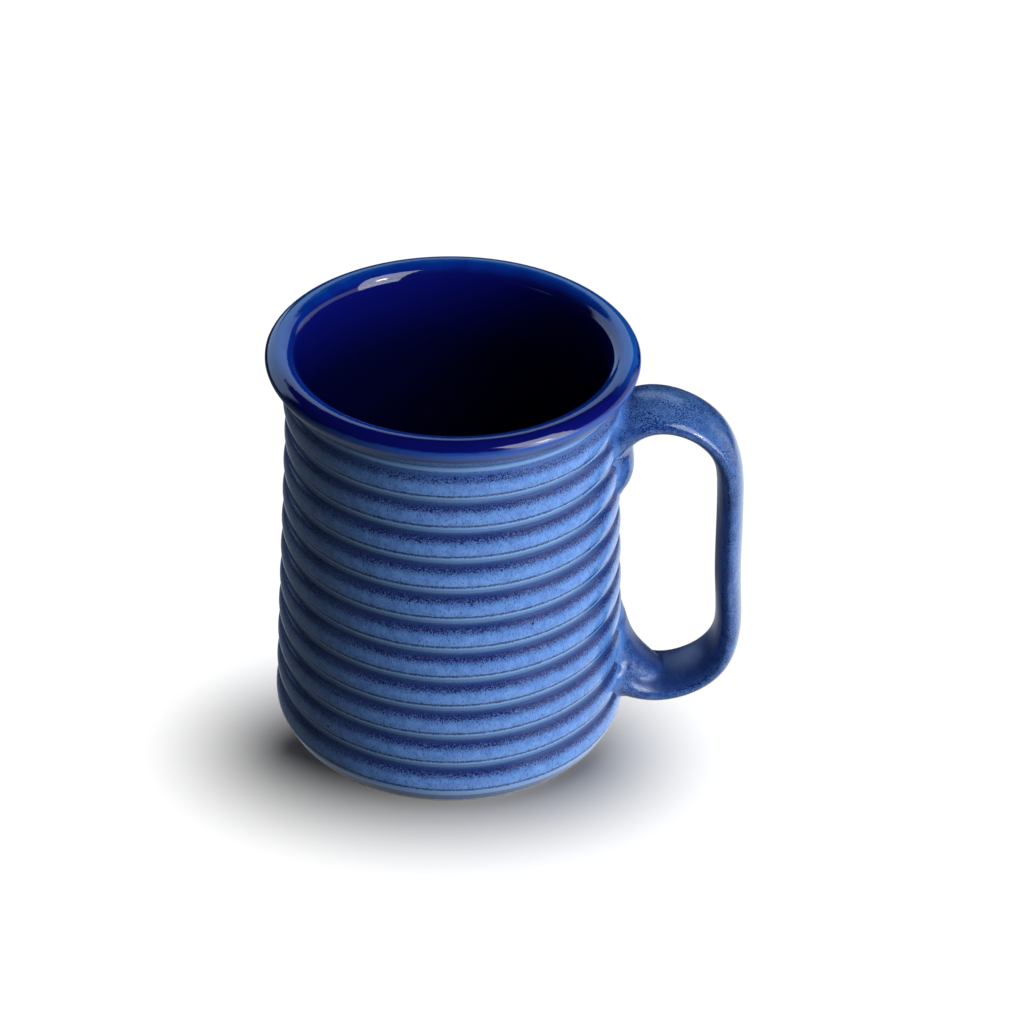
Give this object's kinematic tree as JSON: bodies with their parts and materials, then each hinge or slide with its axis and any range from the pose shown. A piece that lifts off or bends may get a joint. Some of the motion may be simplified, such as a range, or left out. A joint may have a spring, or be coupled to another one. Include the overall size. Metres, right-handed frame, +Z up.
{
  "type": "shaving mug",
  "caption": "Ribbed stoneware shaving mug with a rolled lip, a glazed hollow for lather and a strap handle for a full grip.",
  "frame": {"origin": "centre of the foot ring on the table, on the axis the cup was thrown about", "axes": "+Z up through the mouth, +X out through the middle of the handle"},
  "size_m": [0.1187, 0.09, 0.1066],
  "materials": {
    "cup_clay": "matte",
    "handle_clay": "matte",
    "cobalt_glaze": "gloss",
    "mottled_glaze": "gloss",
    "handle_glaze": "gloss"
  },
  "bodies": {
    "root": {"cup_body": "cup_clay", "handle_strap": "handle_clay", "upper_joint_tail": "handle_clay", "lower_joint_coil": "handle_clay", "liner_glaze": "cobalt_glaze", "outer_glaze": "mottled_glaze", "handle_glaze": "handle_glaze"}
  },
  "joints": []
}
